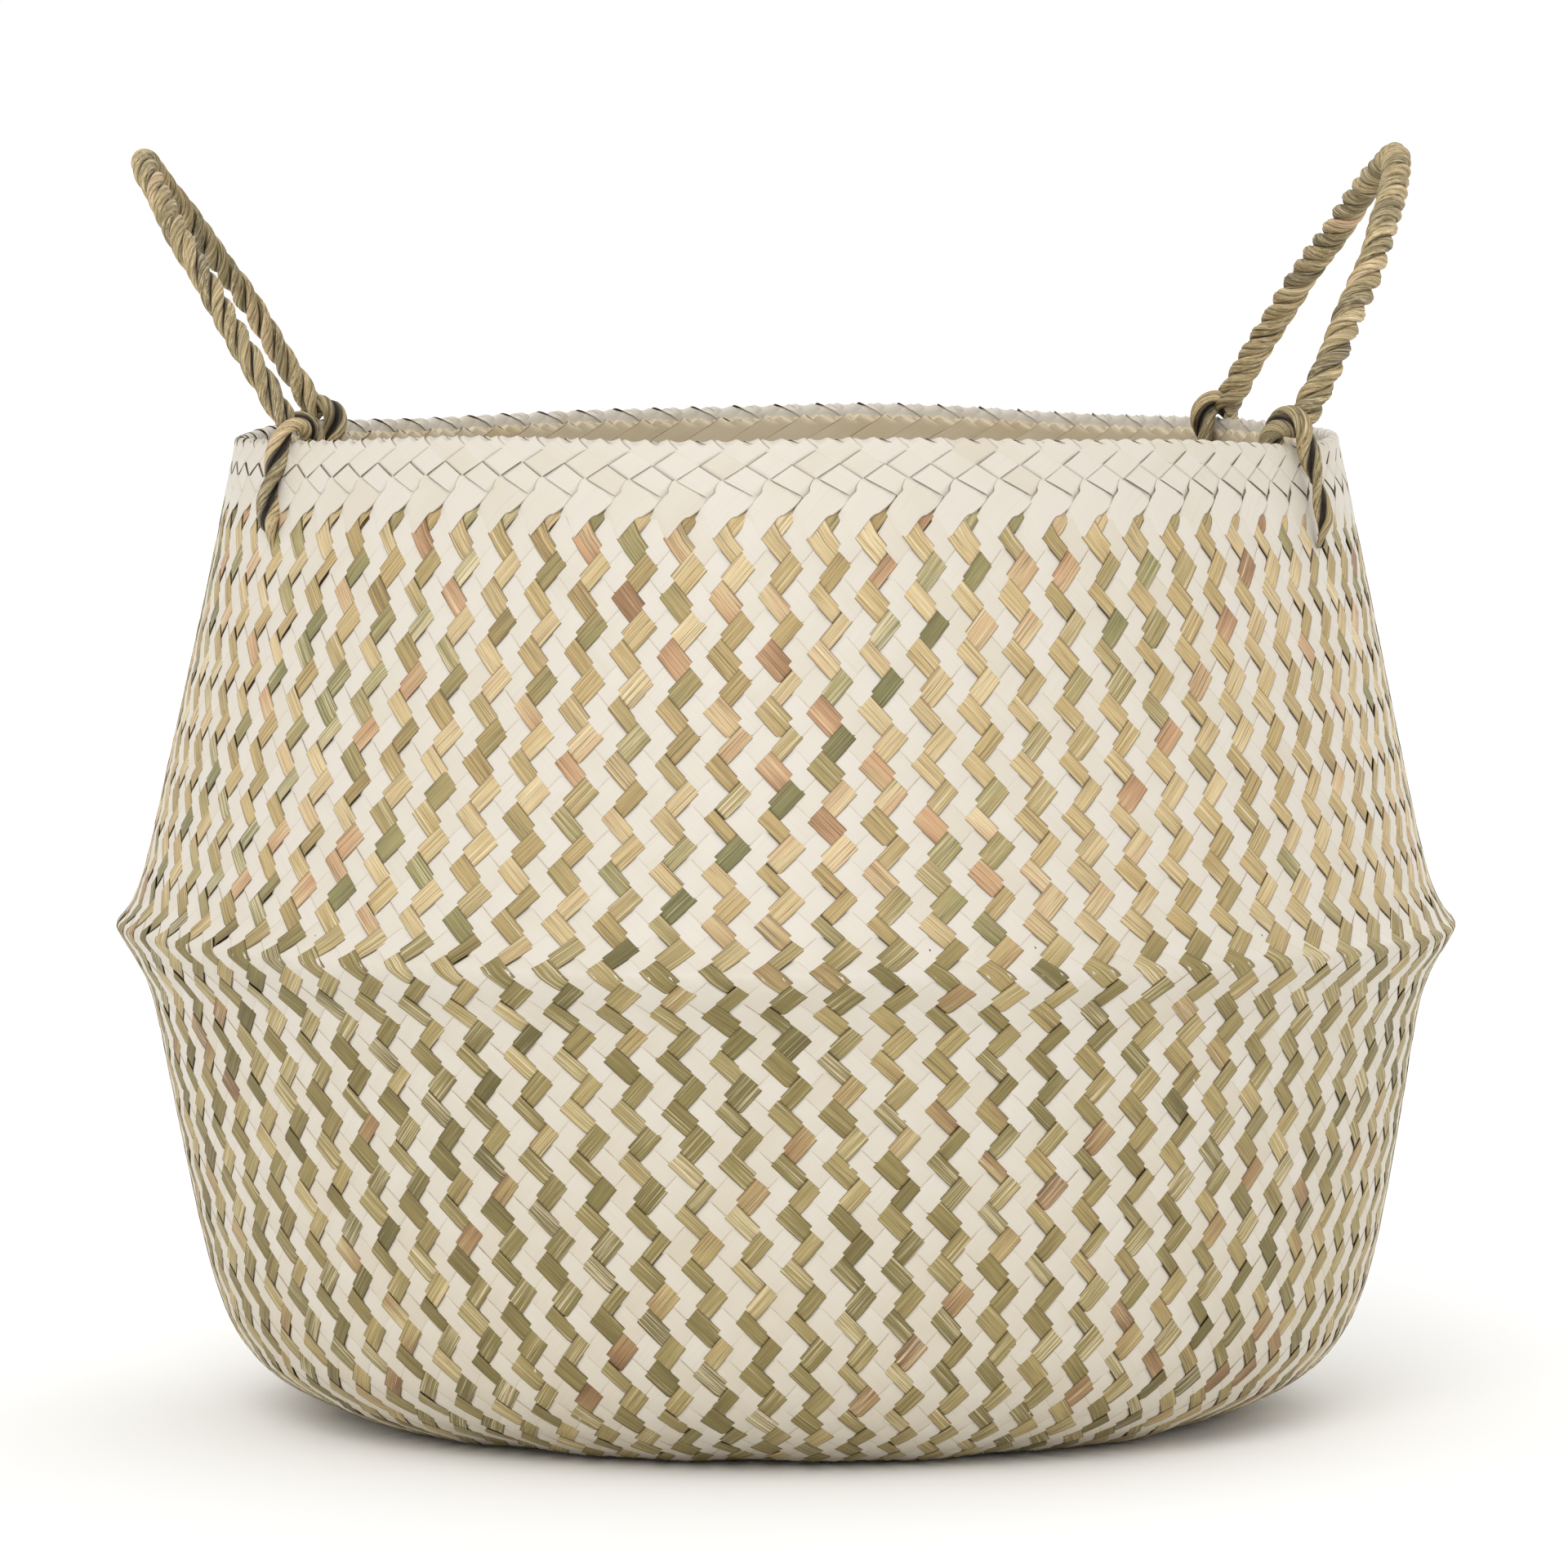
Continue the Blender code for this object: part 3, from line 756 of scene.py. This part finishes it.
def loopLine(look, origin):
    # middle line: across = half cos t (1 - point + point |cos t|), up = height sin t, at even lengths
    t = np.linspace(0, pi, 4001)
    across = look["half"] * np.cos(t) * (1 - look["point"] + look["point"] * np.abs(np.cos(t)))
    rise = look["height"] * np.sin(t)
    length = np.concatenate([[0], np.cumsum(np.hypot(np.diff(across), np.diff(rise)))])
    place = np.arange(handleRope["trim"], length[-1] - handleRope["trim"], handleRope["step"])
    across, rise = np.interp(place, length, across), np.interp(place, length, rise)
    ends = np.minimum(place, length[-1] - place)
    along, up = unit(np.array(look["along"], float)), unit(np.array(look["up"], float))
    line = origin + across[:, None] * along + rise[:, None] * up
    return place, ends, line, along, up


def makeHandle(side):
    # three plies round the loop, which wanders a little between its feet and narrows at its ends
    look = handles[side]
    joint = next(j for j in frame["joints"] if j["name"] == look["swing"])
    place, ends, line, along, up = loopLine(look, np.array(joint["pos_m"], float))
    rng = np.random.default_rng(look["seed"])
    flat = np.cross(along, up)
    free = np.clip(ends / 0.03, 0, 1)[:, None] * handleRope["wander"]
    across = smoothWave(rng, place, (34, 61, 140))[:, None] * flat
    upright = smoothWave(rng, place, (41, 73, 120))[:, None] * up
    line = line + free * (across + upright)
    way = unit(np.gradient(line, axis=0))
    normal = np.cross(flat, way)
    taper = 0.70 + 0.30 * np.clip((ends - handleRope["trim"]) / handleRope["taper"], 0, 1) ** 0.7
    turnRate = 2 * pi / look["pitch"]
    turn = turnRate * place + 0.35 * smoothWave(rng, place, (45, 110)) + look["phase"]
    for ply in range(3):
        own = dict(handleRope, seed=look["seed"] + ply, tone=look["tones"][ply])
        name = f"{side}_handle_rope_{ply + 1}"
        plyTurn = turn + 2 * pi * ply / 3
        offset, size = look["offset"] * taper, look["size"] * taper
        piece = twistPly(name, line, normal, plyTurn, offset, size, own, f"{side}_handle")
        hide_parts(f"{side}_handle_ply_{ply + 1}")


makeHandle("left")
makeHandle("right")
print("handles twisted")

# ---- the bindings: at each foot two plies go up inside, over the edge and down outside to a tip in the wall

feet = {
    "left_front": {"azimuth": 208, "outSize": 1.0, "topSize": 1.0, "shift": (-0.004, 0.0005, -0.0035, 0.0035),
                   "phase": 2.4, "tones": (0.22, 0.66), "seed": 61},
    "left_back": {"azimuth": 152, "outSize": 1.0, "topSize": 1.0, "shift": (0.003, 0.0, 0.002, -0.002),
                  "phase": 0.4, "tones": (0.30, 0.55), "seed": 64},
    "right_front": {"azimuth": -25, "outSize": 0.72, "topSize": 1.25,
                    "shift": (-0.009, -0.003, 0.0015, 0.003), "phase": 1.2, "tones": (0.56, 0.42), "seed": 67},
    "right_back": {"azimuth": 35, "outSize": 0.9, "topSize": 1.1, "shift": (0.004, 0.001, -0.002, 0.001),
                   "phase": 5.1, "tones": (0.36, 0.60), "seed": 70},
}
binding = {"size": 0.0023, "offset": 0.0019, "pitch": 0.034, "footZ": 0.328, "insideZ": 0.303,
           "tipZ": 0.2925, "proud": 0.0032, "behind": 0.0074, "slack": 0.0004, "middle": 0.00275,
           "bulge": 0.0078, "round": 0.0065, "sinkLength": 0.010, "sinkDepth": 0.0010, "step": 0.00045,
           "around": 30, "blades": 5, "edge": 0.24, "twist": 110, "toneWander": 0.14}


def makeBinding(foot):
    # in the upright plane through the foot: up inside, a bulging half circle over it, down along the wall
    look = feet[foot]
    azimuth = radians(look["azimuth"])
    footZ = binding["footZ"]
    inZ = np.linspace(binding["insideZ"], footZ, 40)
    outZ = np.linspace(footZ, binding["tipZ"], 70)
    edge = float(wallRadius(np.array(footZ)))
    middle = edge - binding["middle"]
    turn = np.linspace(pi, 0, 40)
    inside = np.stack([wallRadius(inZ) - binding["behind"], inZ], 1)
    inside[:, 0] -= binding["slack"]
    start, end = inside[-1, 0] - middle, edge + binding["proud"] - middle
    bulge = binding["bulge"] - binding["round"]
    reach = np.interp(turn, (0, pi), (end, -start)) + bulge * np.sin(turn) ** 2
    over = np.stack([middle + reach * np.cos(turn), footZ + reach * np.sin(turn)], 1)
    sink = np.clip((binding["tipZ"] + binding["sinkLength"] - outZ) / binding["sinkLength"], 0, 1)
    away = wallRadius(outZ) + binding["proud"] * (1 - sink)
    outside = np.stack([away - binding["sinkDepth"] * sink, outZ], 1)
    flat = np.concatenate([inside, over[1:-1], outside])
    length = np.concatenate([[0], np.cumsum(np.hypot(*np.diff(flat, axis=0).T))])
    place = np.arange(0, length[-1], binding["step"])
    share = place / length[-1]
    blur = np.hanning(13) / np.hanning(13).sum()
    read = [np.pad(np.interp(place, length, flat[:, k]), 6, mode="edge") for k in (0, 1)]
    radius, z = (np.convolve(values, blur, "valid") for values in read)
    topShare = (length[len(inside)] + length[len(inside) + len(over) - 2]) / 2 / length[-1]
    aside = np.interp(share, (0, topShare, (1 + topShare) / 2, 1), look["shift"])
    aside = np.convolve(np.pad(aside, 20, mode="edge"), np.hanning(41) / np.hanning(41).sum(), "valid")
    outward = np.array([cos(azimuth), sin(azimuth), 0])
    sideways = np.array([-sin(azimuth), cos(azimuth), 0])
    axis = radius[:, None] * outward + aside[:, None] * sideways
    axis[:, 2] = z
    normal = np.broadcast_to(sideways, axis.shape)
    sizes = np.interp(share, (0, topShare - 0.1, topShare + 0.05, topShare + 0.25, 0.88, 1),
                      (0.8, look["topSize"], look["topSize"], look["outSize"], look["outSize"], 0.35))
    turn = 2 * pi * place / binding["pitch"] + look["phase"]
    for ply in range(2):
        own = dict(binding, seed=look["seed"] + ply, tone=look["tones"][ply])
        name = f"{foot}_binding_{ply + 1}"
        offset, size = binding["offset"] * sizes, binding["size"] * sizes
        piece = twistPly(name, axis, normal, turn + pi * ply, offset, size, own, "rim")
        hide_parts(f"{foot}_{('lashing', 'tail')[ply]}")


for foot in feet:
    makeBinding(foot)
print("handles bound on")

# ---- floor, light and camera

studio = {
    "distance": 3.2, "height": 0.447, "aimZ": 0.2098, "aimX": -0.0016, "lens": 219.0,
    "sensor": 36, "seesTo": 200, "floorSize": 120.0, "skyStrength": 1.0,
    "key": ((-0.6, -2.6, 1.9), 30, 0.85),             # place, spread in degrees, power
    "backLight": ((1.4, 2.6, 2.0), 40, 0.30),
}


def makeFloor():
    # one wide pale square
    finish = Finish("pale floor")
    place = finish.node("ShaderNodeTexCoord", {}, {}, "Object")
    grain = finish.noise(place, 3.0, 3)
    colour = finish.mix(grain, paint(250, 250, 249), paint(252, 252, 252))
    finish.surface(Base_Color=colour, Roughness=0.9)
    half = studio["floorSize"] / 2
    mesh = bpy.data.meshes.new("floor")
    corners = [(-half, -half, 0), (half, -half, 0), (half, half, 0), (-half, half, 0)]
    mesh.from_pydata(corners, [], [(0, 1, 2, 3)])
    mesh.materials.append(finish.material)
    floor = bpy.data.objects.new("floor", mesh)
    bpy.context.scene.collection.objects.link(floor)


def softSun(name, place, spread, power):
    # a sun that shines from its place towards the origin
    light = bpy.data.lights.new(name, "SUN")
    light.angle = radians(spread)
    light.energy = power
    lamp = bpy.data.objects.new(name, light)
    lamp.location = place
    aim = -np.array(place, float)
    lamp.rotation_euler = (atan2(np.hypot(aim[0], aim[1]), -aim[2]), 0, atan2(aim[1], aim[0]) - pi / 2)
    bpy.context.scene.collection.objects.link(lamp)


def makeStudio():
    world = bpy.data.worlds.new("soft sky")
    world.use_nodes = True
    sky = world.node_tree.nodes["Background"]
    sky.inputs["Color"].default_value = (1, 1, 1, 1)
    sky.inputs["Strength"].default_value = studio["skyStrength"]
    bpy.context.scene.world = world
    softSun("key", *studio["key"])
    softSun("back light", *studio["backLight"])
    data = bpy.data.cameras.new("camera")
    data.lens = studio["lens"]
    data.sensor_width = studio["sensor"]
    data.clip_end = studio["seesTo"]
    camera = bpy.data.objects.new("camera", data)
    camera.location = (studio["aimX"], -studio["distance"], studio["height"])
    camera.rotation_euler = (pi / 2 - atan2(studio["height"] - studio["aimZ"], studio["distance"]), 0, 0)
    bpy.context.scene.collection.objects.link(camera)
    bpy.context.scene.camera = camera
    bpy.context.scene.view_settings.view_transform = "Standard"


makeFloor()
makeStudio()
print("studio set")
